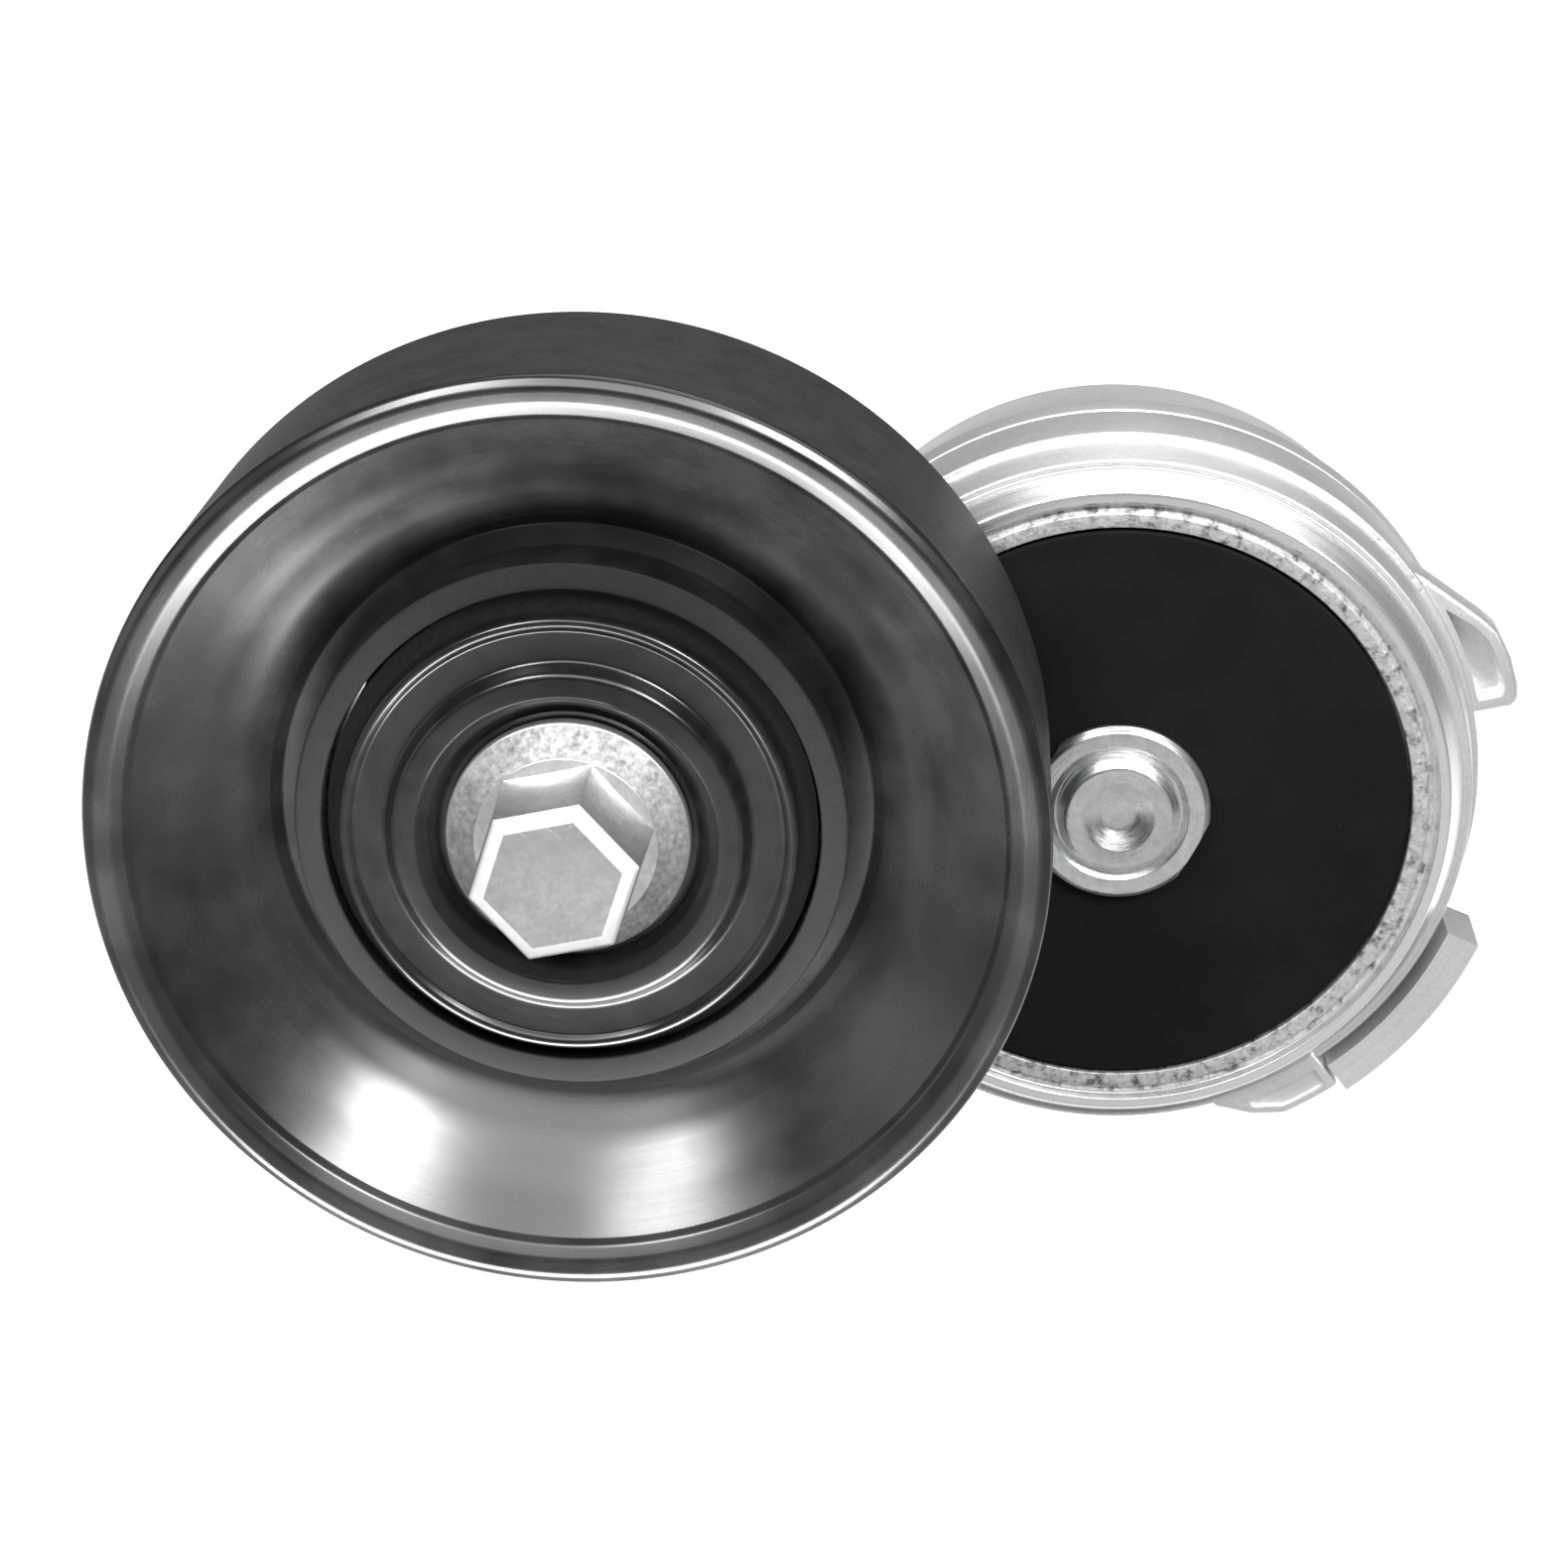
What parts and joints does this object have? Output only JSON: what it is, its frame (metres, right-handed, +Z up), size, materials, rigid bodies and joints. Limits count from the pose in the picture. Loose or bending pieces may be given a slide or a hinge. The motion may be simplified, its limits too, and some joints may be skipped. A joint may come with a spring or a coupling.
{
  "type": "belt tensioner idler",
  "caption": "Spring-loaded belt tensioner: a cast arm on a round spring case carries a smooth black steel idler pulley on a ball bearing, held by a flange bolt.",
  "frame": {"origin": "on the arm's pivot axis, in the plane of the rear mounting face", "axes": "+X from the pulley axis towards the pivot, +Y out of the back along the pivot axis towards the engine bracket, +Z up across the pulley; the pulley's bolt head faces -Y"},
  "size_m": [0.1359, 0.0796, 0.09],
  "materials": {
    "cast_aluminium": "bead-blasted die casting with turned bands",
    "black_enamel": "gloss black enamel on spun steel, satin belt face",
    "black_plate": "matt black coating",
    "zinc_steel": "bright zinc plate",
    "bright_steel": "machined bright steel",
    "bearing_steel": "ground bearing steel",
    "spring_steel": "oiled spring steel",
    "black_rubber": "moulded seal rubber",
    "nylon": "natural glass-filled nylon"
  },
  "bodies": {
    "base": {"base_housing": "cast_aluminium", "pivot_shaft": "bright_steel", "front_cap_plate": "black_plate", "friction_washer": "nylon", "spring_seat": "nylon", "torsion_spring": "spring_steel", "locating_pin": "zinc_steel"},
    "arm": {"tensioner_arm": "cast_aluminium", "pivot_bushing_front": "nylon", "pivot_bushing_rear": "nylon", "damper_shoe": "nylon", "bearing_sleeve": "bright_steel", "bearing_inner_ring": "bearing_steel", "rear_dust_shield": "zinc_steel", "front_dust_shield": "black_enamel", "pulley_bolt": "zinc_steel"},
    "pulley": {"pulley": "black_enamel", "bearing_outer_ring": "bearing_steel", "bearing_seal_front": "black_rubber", "bearing_seal_rear": "black_rubber"},
    "cage": {"bearing_cage": "nylon", "bearing_ball_1": "bearing_steel", "bearing_ball_2": "bearing_steel", "bearing_ball_3": "bearing_steel", "bearing_ball_4": "bearing_steel", "bearing_ball_5": "bearing_steel", "bearing_ball_6": "bearing_steel", "bearing_ball_7": "bearing_steel", "bearing_ball_8": "bearing_steel"}
  },
  "joints": [
    {"name": "arm_swing", "type": "hinge", "parent": "base", "child": "arm", "pos_m": [0, 0, 0], "axis": [0, 1, 0], "range_deg": [0, 33.5], "stiffness_Nm_per_rad": 18, "springref_deg": -57.3, "deforming": ["torsion_spring"]},
    {"name": "pulley_spin", "type": "hinge", "parent": "arm", "child": "pulley", "pos_m": [-0.0522, 0, 0], "axis": [0, 1, 0], "continuous": true},
    {"name": "cage_spin", "type": "hinge", "parent": "arm", "child": "cage", "pos_m": [-0.0522, 0, 0], "axis": [0, 1, 0], "continuous": true}
  ],
  "couplings": [
    {"joint": "cage_spin", "follows": "pulley_spin", "ratio": 0.636}
  ]
}
